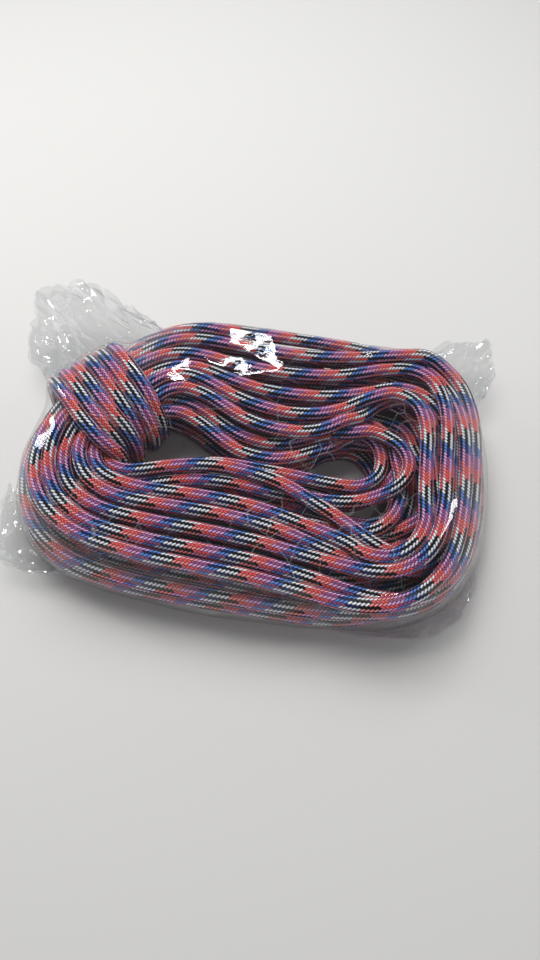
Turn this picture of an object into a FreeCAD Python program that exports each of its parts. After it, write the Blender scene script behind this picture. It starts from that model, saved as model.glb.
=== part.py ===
"""A kernmantle climbing rope as it is sold: a flat oval hank, lashed at one corner with its own
tail and closed in a clear film bag.

All sizes are in millimetres. The object stands on z = 0 with its origin at the middle of its
base. The hank is laid out flat in a frame of its own, with its origin in the hollow that its
loops go round, and is then tilted a little, because its left end rests on the lashing.
"""
import FreeCAD, Part
import itertools
import math
import os

Vector = FreeCAD.Vector

# The rope
ROPE_DIAMETER = 8.0
SHEATH_WALL = 1.0
CORE_CLEARANCE = 0.15
END_SEAL_LENGTH = 3.0
END_SEAL_EDGE = 1.2

# How the loops lie beside and on each other
LOOPS_PER_LAYER = 6
LAYERS = 4
LAYER_GAP = 0.7
LEFT_STEP = 8.75
RIGHT_STEP = 8.75
FRONT_STEP = 8.8
REAR_STEP = 12.0
REAR_TIED_STEP = 9.0

# From the origin of the hank to the middle of the rope in the innermost loop
LEFT_START = 73.0
RIGHT_START = 68.0
FRONT_START = 13.0
REAR_START = 14.0

# The rear runs swoop forward between these two places
SWOOP_RIGHT_X = 29.0
SWOOP_LEFT_X = -19.0
SWOOP_TRIM = 11.0

# A climb to the next layer starts and ends this far from its corners, and its two bends take
# up nearly all of that room
CLIMB_TRIM = 22.0
CLIMB_BEND_SHARE = 0.95

# Corner radii of the innermost loop, and what each further loop adds
RIGHT_FRONT_RADIUS = 12.0
RIGHT_REAR_RADIUS = 12.0
LEFT_REAR_RADIUS = 30.0
LEFT_FRONT_RADIUS = 12.0
RIGHT_RADIUS_STEP = 6.0
TIED_RADIUS_STEP = 8.8
LEFT_FRONT_RADIUS_STEP = 8.4

# The two ends of the rope in the hank
HANK_START_X = 30.0
HANK_END_X = -36.0

# The lashing crosses the left rear corner of the hank on the diagonal
LASHING_TURNS = 6
LASHING_GAP = 0.7
INNER_LEG_CLEARANCE = 0.6
LEAD_IN_STRAIGHT = 12.0
LEAD_IN_RADIUS = 200.0
TAIL_LENGTH_UNDER = 40.0

# The film bag
FILM_THICKNESS = 0.3
FILM_CLEARANCE = 0.4
WELD_RIM = 2.0
TILT_REACH = 2.0
BAG_CORNER_RADIUS = 34.0
BAG_TIED_CORNER_RADIUS = 53.0
EAR_ROOT_MARGIN = 8.0
EAR_RIGHT_FRONT = (127.0, -97.0)
EAR_RIGHT_REAR = (136.0, 88.0)
EAR_LEFT_REAR = (-130.0, 84.0)
EAR_LEFT_FRONT = (-118.0, -97.0)

# The two rear ears stand up in folds, from this far inside the bag's wall and this high out to
# ragged edges given point by point
FOLD_START_INSIDE = 2.0
FOLD_START_HEIGHT = 4.0
FOLDED_FILM_HEIGHT = 0.4
FOLD_ANGLES_LEFT_REAR = (8.0, 86.0)
FOLD_ANGLES_RIGHT_REAR = (6.0, 80.0)
FOLDS_LEFT_REAR = (
    (-140.0, 46.0, 6.0), (-142.0, 62.0, 15.0), (-141.0, 76.0, 11.0), (-142.0, 89.0, 24.0),
    (-131.0, 97.0, 16.0), (-115.0, 96.0, 25.0), (-102.0, 97.0, 12.0), (-84.0, 89.0, 15.0),
)
FOLDS_RIGHT_REAR = (
    (139.0, 62.0, 4.0), (142.0, 74.0, 12.0), (141.0, 85.0, 8.0), (137.0, 96.0, 17.0),
    (124.0, 97.0, 10.0), (109.0, 91.0, 12.0),
)

# The bag's body starts this many times too tall, and what cuts its roof is this many times as
# wide as the hank reaches
BAG_TALLER_THAN_HANK = 3.0
CUTTER_REACH = 4.0

# The hank's own origin, seen from the middle of the base
HANK_X = 7.5
HANK_Y = -18.0

# Points for measuring gaps lie this far apart, are sorted into cells of this size, and are
# compared only where the rope has come back after at least this length
MEASURE_STEP = 1.0
MEASURE_CELL = 2 * ROPE_DIAMETER
MEASURE_APART = 3 * ROPE_DIAMETER

ROPE_RADIUS = ROPE_DIAMETER / 2
LAYER_STEP = ROPE_DIAMETER + LAYER_GAP
LASHING_STEP = ROPE_DIAMETER + LASHING_GAP
QUARTERS_PER_LAYER = 4 * LOOPS_PER_LAYER
FRONT, RIGHT, REAR, LEFT = range(4)
OUTWARD = ((0, -1), (1, 0), (0, 1), (-1, 0))
FIRST_QUARTER = REAR
LAST_QUARTER = LAYERS * QUARTERS_PER_LAYER - 2


def loops_out(quarter):
    """How many loops a quarter turn lies out from the innermost loop: in, out, in and out."""
    phase = quarter % (2 * QUARTERS_PER_LAYER)
    return abs(QUARTERS_PER_LAYER - phase) / 4


def rear_tied_distance(loops):
    """Where the lashing holds the rear runs close together, against the outermost one."""
    outermost = loops_out(FIRST_QUARTER)
    return REAR_START + REAR_STEP * loops + (REAR_STEP - REAR_TIED_STEP) * (outermost - loops)


def side_distance(quarter):
    """Distance of a run from the hank's origin, square to the side that it lies on."""
    starts = (FRONT_START, RIGHT_START, REAR_START, LEFT_START)
    steps = (FRONT_STEP, RIGHT_STEP, REAR_STEP, LEFT_STEP)
    side = quarter % 4
    return starts[side] + steps[side] * loops_out(quarter)


def corner_point(quarter, height):
    """The square corner between the run of this quarter and the run of the next one."""
    distances = [side_distance(quarter), side_distance(quarter + 1)]
    if quarter % 4 == REAR:
        distances[0] = rear_tied_distance(loops_out(quarter))
    this_way = OUTWARD[quarter % 4]
    next_way = OUTWARD[(quarter + 1) % 4]
    x = this_way[0] * distances[0] + next_way[0] * distances[1]
    y = this_way[1] * distances[0] + next_way[1] * distances[1]
    return Vector(x, y, height)


def corner_radius(quarter):
    """Bend radius of the corner after this quarter's run."""
    radii = (RIGHT_FRONT_RADIUS, RIGHT_REAR_RADIUS, LEFT_REAR_RADIUS, LEFT_FRONT_RADIUS)
    steps = (RIGHT_RADIUS_STEP, RIGHT_RADIUS_STEP, TIED_RADIUS_STEP, LEFT_FRONT_RADIUS_STEP)
    loops = (loops_out(quarter) + loops_out(quarter + 1)) / 2
    return radii[quarter % 4] + steps[quarter % 4] * loops


def rounded_route(points, radii):
    """One wire of straight runs and tangent arcs; radii[i] rounds the corner at points[i]."""
    edges = []
    here = points[0]
    for index in range(1, len(points) - 1):
        corner = points[index]
        back = (points[index - 1] - corner).normalize()
        onward = (points[index + 1] - corner).normalize()
        half_angle = back.getAngle(onward) / 2
        trim = radii[index] / math.tan(half_angle)
        arc_start = corner + back * trim
        arc_end = corner + onward * trim
        to_centre = (back + onward).normalize()
        arc_middle = corner + to_centre * (radii[index] / math.sin(half_angle) - radii[index])
        edges.append(Part.LineSegment(here, arc_start).toShape())
        edges.append(Part.Arc(arc_start, arc_middle, arc_end).toShape())
        here = arc_end
    edges.append(Part.LineSegment(here, points[-1]).toShape())
    return Part.Wire(edges)


def slope_radius(trim, along, across):
    """Radius that rounds the foot of a gentle slope and takes up the given trim."""
    return trim / math.tan(math.atan2(across, along) / 2)


def hank_route():
    """The middle of the rope, from its end under the hank to where the lashing begins."""
    height = ROPE_RADIUS
    points = [Vector(HANK_START_X, side_distance(FIRST_QUARTER), height)]
    radii = [0.0]
    for quarter in range(FIRST_QUARTER, LAST_QUARTER):
        loops = loops_out(quarter)
        if quarter > FIRST_QUARTER and quarter % QUARTERS_PER_LAYER == 0:
            foot = corner_point(quarter - 1, height)
            foot.x += corner_radius(quarter - 1) + CLIMB_TRIM
            height += LAYER_STEP
            head = corner_point(quarter, height)
            head.x -= corner_radius(quarter) + CLIMB_TRIM
            bend = slope_radius(CLIMB_BEND_SHARE * CLIMB_TRIM, head.x - foot.x, LAYER_STEP)
            points += [foot, head]
            radii += [bend, bend]
        if quarter % 4 == REAR and loops < loops_out(FIRST_QUARTER):
            shift = rear_tied_distance(loops) - side_distance(quarter)
            bend = slope_radius(SWOOP_TRIM, SWOOP_RIGHT_X - SWOOP_LEFT_X, shift)
            points.append(Vector(SWOOP_RIGHT_X, side_distance(quarter), height))
            points.append(Vector(SWOOP_LEFT_X, side_distance(quarter) + shift, height))
            radii += [bend, bend]
        points.append(corner_point(quarter, height))
        radii.append(corner_radius(quarter))
    points.append(Vector(HANK_END_X, side_distance(LAST_QUARTER), height))
    radii.append(0.0)
    return rounded_route(points, radii)


def diagonal_reach(across, left, rear, radius):
    """How far out along the diagonal a turn meets a left rear corner of that radius."""
    centre_across = ((radius - left) + (rear - radius)) / math.sqrt(2)
    centre_out = ((rear - radius) - (radius - left)) / math.sqrt(2)
    offset = across - centre_across
    if offset > radius / math.sqrt(2):
        return math.sqrt(2) * rear - across
    if offset < -radius / math.sqrt(2):
        return across + math.sqrt(2) * left
    return centre_out + math.sqrt(radius ** 2 - offset ** 2)


def diagonal_point(across, out, height):
    """A point from its place across and out along the diagonal over the left rear corner."""
    return Vector((across - out) / math.sqrt(2), (across + out) / math.sqrt(2), height)


def inner_leg(across, height):
    """Where a turn of the lashing goes through the hollow of the hank."""
    inward = LASHING_STEP + INNER_LEG_CLEARANCE
    left = LEFT_START + LEFT_STEP * loops_out(QUARTERS_PER_LAYER - 1) - inward
    rear = rear_tied_distance(loops_out(QUARTERS_PER_LAYER - 2)) - inward
    radius = corner_radius(QUARTERS_PER_LAYER - 2) - inward
    return diagonal_point(across, diagonal_reach(across, left, rear, radius), height)


def outer_leg(across, height):
    """Where a turn of the lashing goes down outside the hank."""
    outermost = 2 * QUARTERS_PER_LAYER - 1
    left = LEFT_START + LEFT_STEP * loops_out(outermost) + LASHING_STEP
    rear = side_distance(FIRST_QUARTER) + LASHING_STEP
    radius = corner_radius(outermost - 1) + LASHING_STEP
    return diagonal_point(across, diagonal_reach(across, left, rear, radius), height)


def last_turn_across():
    """Place across the diagonal of the last turn, in the hollow's left front corner."""
    left = LEFT_START + LEFT_STEP * loops_out(QUARTERS_PER_LAYER - 1) - LASHING_STEP
    return (LASHING_STEP - FRONT_START - left) / math.sqrt(2)


def lashing_route():
    """The tail: in from the hank's last run, six turns over the corner, then tucked under."""
    top = ROPE_RADIUS + LAYERS * LAYER_STEP
    bottom = ROPE_RADIUS - LAYER_STEP
    lead_height = top - LAYER_STEP
    across = last_turn_across() + LASHING_TURNS * LASHING_STEP
    start = Vector(HANK_END_X, side_distance(LAST_QUARTER), lead_height)
    points = [start, start - Vector(LEAD_IN_STRAIGHT, 0, 0)]
    points.append(outer_leg(across, lead_height))
    points.append(outer_leg(across, bottom))
    for turn in range(LASHING_TURNS):
        points.append(inner_leg(across, bottom))
        across -= LASHING_STEP
        points.append(inner_leg(across, top))
        points.append(outer_leg(across, top))
        points.append(outer_leg(across, bottom))
    under = inner_leg(across, bottom) - outer_leg(across, bottom)
    points.append(outer_leg(across, bottom) + under.normalize() * TAIL_LENGTH_UNDER)
    radii = [LASHING_STEP] * len(points)
    radii[1] = LEAD_IN_RADIUS
    return rounded_route(points, radii)


def sweep(route, radius):
    """One solid of round section along a route."""
    first_edge = route.OrderedEdges[0]
    start = first_edge.valueAt(first_edge.FirstParameter)
    direction = first_edge.tangentAt(first_edge.FirstParameter)
    section = Part.Wire(Part.Circle(start, direction, radius).toShape())
    return route.makePipeShell([section], True, False)


def sheath_and_core(route):
    """The hollow sheath and the core inside it, each one unbroken length."""
    bore = sweep(route, ROPE_RADIUS - SHEATH_WALL)
    sheath = sweep(route, ROPE_RADIUS).cut(bore).Solids[0]
    core = sweep(route, ROPE_RADIUS - SHEATH_WALL - CORE_CLEARANCE)
    return sheath, core


def end_seal(place, direction):
    """The melted end of the rope: a short plug of full width with a rounded rim."""
    plug = Part.makeCylinder(ROPE_RADIUS, END_SEAL_LENGTH, place, direction)
    rim = [edge for edge in plug.Edges if edge.CenterOfMass.isEqual(
        place + direction * END_SEAL_LENGTH, END_SEAL_EDGE)]
    return plug.makeFillet(END_SEAL_EDGE, rim).Solids[0]


def route_end(route, last):
    """The place at one end of a route, and the direction that points away from the rope."""
    edge = route.OrderedEdges[-1 if last else 0]
    parameter = edge.LastParameter if last else edge.FirstParameter
    direction = edge.tangentAt(parameter)
    return edge.valueAt(parameter), direction if last else -direction


def hank_right_reach():
    """Distance from the hank's origin to the middle of its outermost rope on the right."""
    return side_distance(2 * QUARTERS_PER_LAYER + 1)


def lashing_right_x(turn, height):
    """How far right the straight part of a turn of the lashing reaches."""
    across = last_turn_across() + (LASHING_TURNS - turn) * LASHING_STEP
    return inner_leg(across, height).x - LASHING_STEP / math.sqrt(2)


def place_hank(shape):
    """Tilt a shape from the hank's flat frame on to its place in the object.

    The hank rests on the rope at the right end of its lowest layer and on the lashing.
    """
    pivot = side_distance(FIRST_QUARTER + 3)
    tilt = math.asin(LAYER_STEP / (pivot - lashing_right_x(0, 0)))
    placed = shape.copy()
    placed.rotate(Vector(pivot, 0, 0), Vector(0, 1, 0), math.degrees(tilt))
    placed.translate(Vector(HANK_X, HANK_Y, FILM_THICKNESS + FILM_CLEARANCE))
    return placed


def bag_sides(grow):
    """Left, right, front and rear of the bag's body, outside the rope by its clearance."""
    out = ROPE_RADIUS + FILM_CLEARANCE + grow
    left = HANK_X - side_distance(2 * QUARTERS_PER_LAYER - 1) - out
    right = HANK_X + hank_right_reach() + TILT_REACH + out
    front = HANK_Y - side_distance(2 * QUARTERS_PER_LAYER) - out
    rear = HANK_Y + outer_leg(last_turn_across() + LASHING_TURNS * LASHING_STEP, 0).y + out
    return left, right, front, rear


def bag_outline(grow):
    """Rounded outline of the bag's body, on the table."""
    left, right, front, rear = bag_sides(grow)
    middle = Vector((left + right) / 2, front, 0)
    corners = [Vector(right, front, 0), Vector(right, rear, 0)]
    corners += [Vector(left, rear, 0), Vector(left, front, 0)]
    radius = BAG_CORNER_RADIUS + grow
    radii = [0.0, radius, radius, BAG_TIED_CORNER_RADIUS + grow, radius, 0.0]
    return rounded_route([middle] + corners + [middle], radii)


def roof_cutter(point, slope_x, slope_y):
    """Everything over one facet of the roof, a plane through a point of the flat hank."""
    normal = Vector(-slope_x, -slope_y, 1).normalize()
    size = CUTTER_REACH * hank_right_reach()
    face = Part.makePlane(size, size, Vector(-size / 2, -size / 2, 0))
    face.Placement = FreeCAD.Placement(point, FreeCAD.Rotation(Vector(0, 0, 1), normal))
    return place_hank(face.extrude(normal * size))


def bag_body(grow):
    """The space inside the bag, grown by a wall: upright sides under a roof of three facets."""
    left, right, front, rear = bag_sides(grow)
    low = ROPE_DIAMETER + (LAYERS - 1) * LAYER_STEP + FILM_CLEARANCE + grow
    high = low + LAYER_STEP
    lashing_x = lashing_right_x(1, 0)
    lashing_y = inner_leg(last_turn_across(), 0).y
    slope_x = (low - high) / (hank_right_reach() - lashing_x)
    slope_y = (high - low) / (lashing_y + side_distance(2 * QUARTERS_PER_LAYER))
    body = Part.Face(bag_outline(grow)).extrude(Vector(0, 0, BAG_TALLER_THAN_HANK * high))
    body.translate(Vector(0, 0, FILM_THICKNESS))
    body = body.cut(roof_cutter(Vector(0, 0, high), 0, 0))
    body = body.cut(roof_cutter(Vector(lashing_x, 0, high), slope_x, 0))
    body = body.cut(roof_cutter(Vector(0, lashing_y, high), 0, slope_y))
    return body.Solids[0]


def weld_outline():
    """Outline of the bag's flat rim, with its four ears."""
    left, right, front, rear = bag_sides(WELD_RIM)
    root = BAG_CORNER_RADIUS + EAR_ROOT_MARGIN
    tied_root = BAG_TIED_CORNER_RADIUS + EAR_ROOT_MARGIN
    points = [(right - root, front), EAR_RIGHT_FRONT, (right, front + root)]
    points += [(right, rear - root), EAR_RIGHT_REAR, (right - root, rear)]
    points += [(left + tied_root, rear), EAR_LEFT_REAR, (left, rear - tied_root)]
    points += [(left, front + root), EAR_LEFT_FRONT, (left + root, front)]
    points.append(points[0])
    return Part.makePolygon([Vector(x, y, 0) for x, y in points])


def ear_folds(centre, radius, sideways, angles, edge):
    """A crumpled ear that stands up: flat facets between a corner of the bag and its edge."""
    inside = radius - FOLD_START_INSIDE
    facets = []
    roots = []
    for index in range(len(edge)):
        share = index / (len(edge) - 1)
        angle = math.radians(angles[0] + (angles[1] - angles[0]) * share)
        step = Vector(sideways * math.cos(angle), math.sin(angle), 0) * inside
        roots.append(centre + step + Vector(0, 0, FOLD_START_HEIGHT))
    tips = [Vector(*place) for place in edge]
    for index in range(len(edge) - 1):
        near, far = roots[index:index + 2], tips[index:index + 2]
        for corners in ((near[0], near[1], far[0]), (near[1], far[1], far[0])):
            facet = Part.Face(Part.makePolygon([*corners, corners[0]]))
            facets.append(facet.extrude(Vector(0, 0, FOLDED_FILM_HEIGHT)))
    return facets[0].multiFuse(facets[1:])


def standing_ears():
    """The two rear ears, whose folds stand up from the table."""
    left, right, front, rear = bag_sides(FILM_THICKNESS)
    tied = BAG_TIED_CORNER_RADIUS + FILM_THICKNESS
    plain = BAG_CORNER_RADIUS + FILM_THICKNESS
    left_centre = Vector(left + tied, rear - tied, 0)
    right_centre = Vector(right - plain, rear - plain, 0)
    return [
        ear_folds(left_centre, tied, -1, FOLD_ANGLES_LEFT_REAR, FOLDS_LEFT_REAR),
        ear_folds(right_centre, plain, 1, FOLD_ANGLES_RIGHT_REAR, FOLDS_RIGHT_REAR),
    ]


def film_lower_web():
    """The side of the bag that lies on the table."""
    return Part.Face(weld_outline()).extrude(Vector(0, 0, FILM_THICKNESS))


def film_upper_web():
    """The side of the bag that is drawn over the hank and welded to the lower side."""
    rim = Part.Face(weld_outline()).extrude(Vector(0, 0, FILM_THICKNESS))
    rim.translate(Vector(0, 0, FILM_THICKNESS))
    film = rim.fuse(bag_body(FILM_THICKNESS))
    for ear in standing_ears():
        film = film.fuse(ear)
    return film.cut(bag_body(0)).Solids[0]


def route_points(route):
    """Points along a route with how far along it each one lies."""
    points = route.discretize(Distance=MEASURE_STEP)
    step = route.Length / (len(points) - 1)
    return [(index * step, point) for index, point in enumerate(points)]


def cell_of(point):
    """The measuring cell that a point lies in."""
    return tuple(int(value // MEASURE_CELL) for value in (point.x, point.y, point.z))


def least_gap(points, others=None):
    """Least gap between two ropes, or between far parts of one rope when others is None."""
    grid = {}
    for place, point in others or points:
        grid.setdefault(cell_of(point), []).append((place, point))
    least = MEASURE_CELL
    for place, point in points:
        for shift in itertools.product((-1, 0, 1), repeat=3):
            cell = tuple(map(sum, zip(cell_of(point), shift)))
            for other_place, other in grid.get(cell, []):
                if others is None and abs(other_place - place) < MEASURE_APART:
                    continue
                least = min(least, point.distanceToPoint(other))
    return least - ROPE_DIAMETER


def print_gaps(hank, lashing):
    """Print the least gaps of the rope to itself, with the places where it carries on left out."""
    print(f"hank to itself: least gap {least_gap(route_points(hank)):.2f} mm")
    print(f"lashing to itself: least gap {least_gap(route_points(lashing)):.2f} mm")
    past_join = [pair for pair in route_points(lashing) if pair[0] > MEASURE_CELL]
    print(f"lashing to hank: least gap {least_gap(past_join, route_points(hank)):.2f} mm")


def print_lengths(name, route, sheath):
    """Print the length of rope in a route, and how true to it the swept sheath is."""
    ring = math.pi * (ROPE_RADIUS ** 2 - (ROPE_RADIUS - SHEATH_WALL) ** 2)
    share = sheath.Volume / (ring * route.Length)
    print(f"{name}: {route.Length / 1000:.3f} m of rope, "
          f"sheath volume {share:.5f} of its section times its length")


def main():
    """Build every piece and write it to its own file."""
    hank = hank_route()
    lashing = lashing_route()
    hank_sheath, hank_core = sheath_and_core(hank)
    lashing_sheath, lashing_core = sheath_and_core(lashing)
    pieces = {
        "hank_sheath": place_hank(hank_sheath),
        "hank_core": place_hank(hank_core),
        "hank_end_seal": place_hank(end_seal(*route_end(hank, False))),
        "lashing_sheath": place_hank(lashing_sheath),
        "lashing_core": place_hank(lashing_core),
        "tail_end_seal": place_hank(end_seal(*route_end(lashing, True))),
        "film_lower_web": film_lower_web(),
        "film_upper_web": film_upper_web(),
    }
    os.makedirs("parts", exist_ok=True)
    for name, shape in pieces.items():
        shape.exportStep("parts/" + name + ".step")
        box = shape.BoundBox
        print(f"{name}: {shape.ShapeType}, valid {shape.isValid()}, {shape.Volume:.0f} mm3, "
              f"x {box.XMin:.1f} to {box.XMax:.1f}, y {box.YMin:.1f} to {box.YMax:.1f}, "
              f"z {box.ZMin:.2f} to {box.ZMax:.2f}")
    print_lengths("hank", hank, hank_sheath)
    print_lengths("lashing", lashing, lashing_sheath)
    print_gaps(hank, lashing)


main()
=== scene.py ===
# %% [markdown]
# # A kernmantle climbing rope in its film bag
# The object is one length of braided rope, laid up in a flat oval hank and lashed at one corner
# with its own tail. A clear, crumpled film bag is drawn tight over it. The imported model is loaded
# first, and everything that follows is built round it in the same frame, in metres.

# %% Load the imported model
import math

import bpy
import numpy as np
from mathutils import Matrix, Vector
from mathutils.geometry import convex_hull_2d
from mathutils.kdtree import KDTree


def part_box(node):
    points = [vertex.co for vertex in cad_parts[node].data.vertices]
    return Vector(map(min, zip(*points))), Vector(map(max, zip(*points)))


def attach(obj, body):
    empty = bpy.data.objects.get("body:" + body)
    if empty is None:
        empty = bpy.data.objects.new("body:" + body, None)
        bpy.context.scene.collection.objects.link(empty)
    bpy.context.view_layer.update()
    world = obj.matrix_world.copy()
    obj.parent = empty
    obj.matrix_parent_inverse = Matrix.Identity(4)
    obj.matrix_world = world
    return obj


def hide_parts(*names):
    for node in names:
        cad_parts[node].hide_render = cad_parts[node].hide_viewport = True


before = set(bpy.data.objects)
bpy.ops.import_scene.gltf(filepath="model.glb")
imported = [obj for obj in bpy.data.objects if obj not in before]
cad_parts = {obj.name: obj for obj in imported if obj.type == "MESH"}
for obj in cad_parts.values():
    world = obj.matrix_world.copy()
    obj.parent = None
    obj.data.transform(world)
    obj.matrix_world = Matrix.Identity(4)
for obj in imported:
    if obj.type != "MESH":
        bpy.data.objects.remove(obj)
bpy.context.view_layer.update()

MM = 0.001
scene = bpy.context.scene
print("nodes:", ", ".join(sorted(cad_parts)))

# %% [markdown]
# ## The camera
# The photograph was taken from the front, looking steeply down, with a phone's wide lens about
# 40 cm away. So near, the front of the hank looks larger than its rear, and the camera keeps
# that. A small shift puts the hank where it lies in the picture.

# %% Set up the camera
PICTURE_WIDTH = 540
PICTURE_HEIGHT = 960
FOCAL_PIXELS = 720.0
SENSOR_SIZE = 36.0
VIEW_TURN = math.radians(8.6)
VIEW_HEIGHT = math.radians(60.0)
VIEW_DISTANCE = 400.0 * MM
LOOK_AT = Vector((7.5, -18.0, 25.0)) * MM
TARGET_PIXEL_X = 252
TARGET_PIXEL_Y = 472


def add_camera():
    """A camera that looks at the hank from where the photograph was taken."""
    data = bpy.data.cameras.new("photo_camera")
    data.sensor_fit = "VERTICAL"
    data.sensor_height = SENSOR_SIZE
    data.lens = SENSOR_SIZE * FOCAL_PIXELS / PICTURE_HEIGHT
    data.clip_start = 0.01
    data.shift_x = (PICTURE_WIDTH / 2 - TARGET_PIXEL_X) / PICTURE_HEIGHT
    data.shift_y = -(PICTURE_HEIGHT / 2 - TARGET_PIXEL_Y) / PICTURE_HEIGHT
    camera = bpy.data.objects.new("photo_camera", data)
    back = Vector((
        math.sin(VIEW_TURN) * math.cos(VIEW_HEIGHT),
        -math.cos(VIEW_TURN) * math.cos(VIEW_HEIGHT),
        math.sin(VIEW_HEIGHT),
    ))
    camera.location = LOOK_AT + back * VIEW_DISTANCE
    camera.rotation_euler = back.to_track_quat("Z", "Y").to_euler()
    scene.collection.objects.link(camera)
    scene.camera = camera
    return camera


camera = add_camera()
print(f"camera lens {camera.data.lens:.1f} mm, at {VIEW_DISTANCE / MM:.0f} mm")

# %% [markdown]
# ## Light and floor
# Clear film shows mostly what it reflects, so the lights draw it. One wide soft lamp behind the
# hank lights the rope. Reflections leave it out, or it would lie on the film as a grey haze.
# Four small lamps give the film its bright streaks, and a sky that is brightest near the horizon
# makes its edges pale. The floor is plain, and its colour, not more light, makes it pale.

# %% Helpers for meshes and materials
def new_object(name, places, faces, smooth=False):
    """An object in the scene, with a mesh of those points and faces."""
    mesh = bpy.data.meshes.new(name)
    mesh.from_pydata(places, [], faces)
    mesh.polygons.foreach_set("use_smooth", [smooth] * len(faces))
    made = bpy.data.objects.new(name, mesh)
    scene.collection.objects.link(made)
    return made


def node(tree, kind, inputs=None, **settings):
    """A new node; each input that is named gets a plain value or another node's output."""
    made = tree.nodes.new("ShaderNode" + kind)
    for key, value in settings.items():
        setattr(made, key, value)
    for key, value in (inputs or {}).items():
        if isinstance(value, bpy.types.NodeSocket):
            tree.links.new(value, made.inputs[key])
        else:
            made.inputs[key].default_value = value
    return made


def new_material(name):
    """A material without nodes, and the tree that they go in."""
    material = bpy.data.materials.new(name)
    material.use_nodes = True
    material.node_tree.nodes.clear()
    return material, material.node_tree


def show(tree, shader):
    """Make this shader the one that the material shows."""
    node(tree, "OutputMaterial", {"Surface": shader.outputs[0]})


def dress(piece, material):
    """Give a piece its material, and attach it to the root body."""
    piece.data.materials.append(material)
    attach(piece, "root")


# %% Floor, lamps and sky
FLOOR_SIZE = 6.0
FLOOR_COLOUR = (0.66, 0.65, 0.63, 1.0)
FLOOR_ROUGHNESS = 0.65
SKY_COLOUR = (0.93, 0.96, 1.0, 1.0)
HORIZON_LIGHT = 0.85
OVERHEAD_LIGHT = 0.10
# The sky fades from one light to the other between these heights, where 1 is straight up.
SKY_FADE = (0.15, 0.65)
WHITE = (1.0, 1.0, 1.0)
# Each lamp's place and size in mm, its power in watts and its colour.
LAMPS = {
    "rear_softbox": ((-220, 420, 1000), (800, 700), 11.8, WHITE),
    "rear_window": ((-40, 800, 760), (150, 42), 0.42, (0.95, 0.98, 1.0)),
    "left_strip": ((-700, 250, 420), (60, 400), 1.0, WHITE),
    "right_strip": ((750, 300, 500), (50, 300), 0.7, WHITE),
    "front_spark": ((260, -420, 900), (120, 50), 0.5, WHITE),
}


def add_floor():
    """A pale matt table top that keeps the object's shadow."""
    half = FLOOR_SIZE / 2
    corners = [(-half, -half, 0), (half, -half, 0), (half, half, 0), (-half, half, 0)]
    floor = new_object("floor", corners, [(0, 1, 2, 3)])
    material, tree = new_material("floor_paint")
    show(tree, node(tree, "BsdfPrincipled", {
        "Base Color": FLOOR_COLOUR, "Roughness": FLOOR_ROUGHNESS}))
    floor.data.materials.append(material)


def add_lamp(name, place, size, power, colour):
    """A soft oblong lamp that points at the hank."""
    data = bpy.data.lights.new(name, "AREA")
    data.shape = "RECTANGLE"
    data.size = size[0] * MM
    data.size_y = size[1] * MM
    data.energy = power
    data.color = colour
    lamp = bpy.data.objects.new(name, data)
    lamp.location = Vector(place) * MM
    lamp.rotation_euler = (lamp.location - LOOK_AT).to_track_quat("Z", "Y").to_euler()
    scene.collection.objects.link(lamp)
    return lamp


def set_world():
    """A pale sky, brighter towards the horizon."""
    world = bpy.data.worlds.new("studio")
    world.use_nodes = True
    tree = world.node_tree
    place = node(tree, "TexCoord")
    parts = node(tree, "SeparateXYZ", {0: place.outputs["Generated"]})
    fade = node(tree, "MapRange", {
        "Value": parts.outputs[2], "From Min": SKY_FADE[0], "From Max": SKY_FADE[1],
        "To Min": HORIZON_LIGHT, "To Max": OVERHEAD_LIGHT}, interpolation_type="SMOOTHSTEP")
    background = tree.nodes["Background"]
    background.inputs["Color"].default_value = SKY_COLOUR
    tree.links.new(fade.outputs["Result"], background.inputs["Strength"])
    scene.world = world


add_floor()
lamps = {name: add_lamp(name, *values) for name, values in LAMPS.items()}
lamps["rear_softbox"].visible_glossy = False
set_world()
scene.view_settings.view_transform = "Standard"
print(f"floor, sky and {len(lamps)} lamps are in")

# %% [markdown]
# ## The rope's line through the hank
# A hank is wound: six loops beside each other, spiralling in, then a climb to the next layer and
# six loops spiralling out, four layers in all. Drawn outlines say how the outermost loop
# lies and how the innermost one does, on top and below. Every loop between is a blend of them.

# %% Sizes of the hank
ROPE_DIAMETER = 8.0
ROPE_RADIUS = ROPE_DIAMETER / 2
LOOPS_PER_LAYER = 6
LAYERS = 4
LAYER_STEP = 8.7
POINTS_PER_LOOP = 30
FIRST_LOOP = 0.5
LAST_LOOP = LAYERS * LOOPS_PER_LAYER - 0.5
HANK_START = (30.0, 87.0)
HANK_END = (-36.0, 87.0)
# The loops begin and end a few points past half a loop, in the middle of the rear run.
FIRST_STEP = int(FIRST_LOOP * POINTS_PER_LOOP) + 3
LAST_STEP = int(LAST_LOOP * POINTS_PER_LOOP) + 3
TOP_LAYER_TURN = (LAYERS - 1) * LOOPS_PER_LAYER
# Half of how long a climb takes, and of the change to the top layer's outline, in loops.
CLIMB_REACH = 0.15
TOP_CHANGE_REACH = 0.25
STRAIGHT_ON = Vector((ROPE_DIAMETER, 0, 0))
print(f"{LAYERS} layers of {LOOPS_PER_LAYER} loops of {ROPE_DIAMETER:.0f} mm rope")

# %% Outlines of the loops
# Seen from above in the flat hank's frame, from the middle of the front round to the right.
OUTERMOST_LOOP = (
    (0, -75), (22, -76), (44, -77), (65, -77), (83, -73), (98, -64),
    (109, -50), (116, -35), (120, -18), (122, -1), (123, 18), (123, 40),
    (120, 65), (110, 85), (91, 95), (68, 96), (44, 96), (20, 95),
    (-4, 94), (-28, 93), (-50, 92), (-68, 86), (-82, 68), (-95, 52),
    (-109, 36), (-122, 16), (-127, -12), (-121, -43), (-100, -66), (-53, -75),
)
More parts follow.
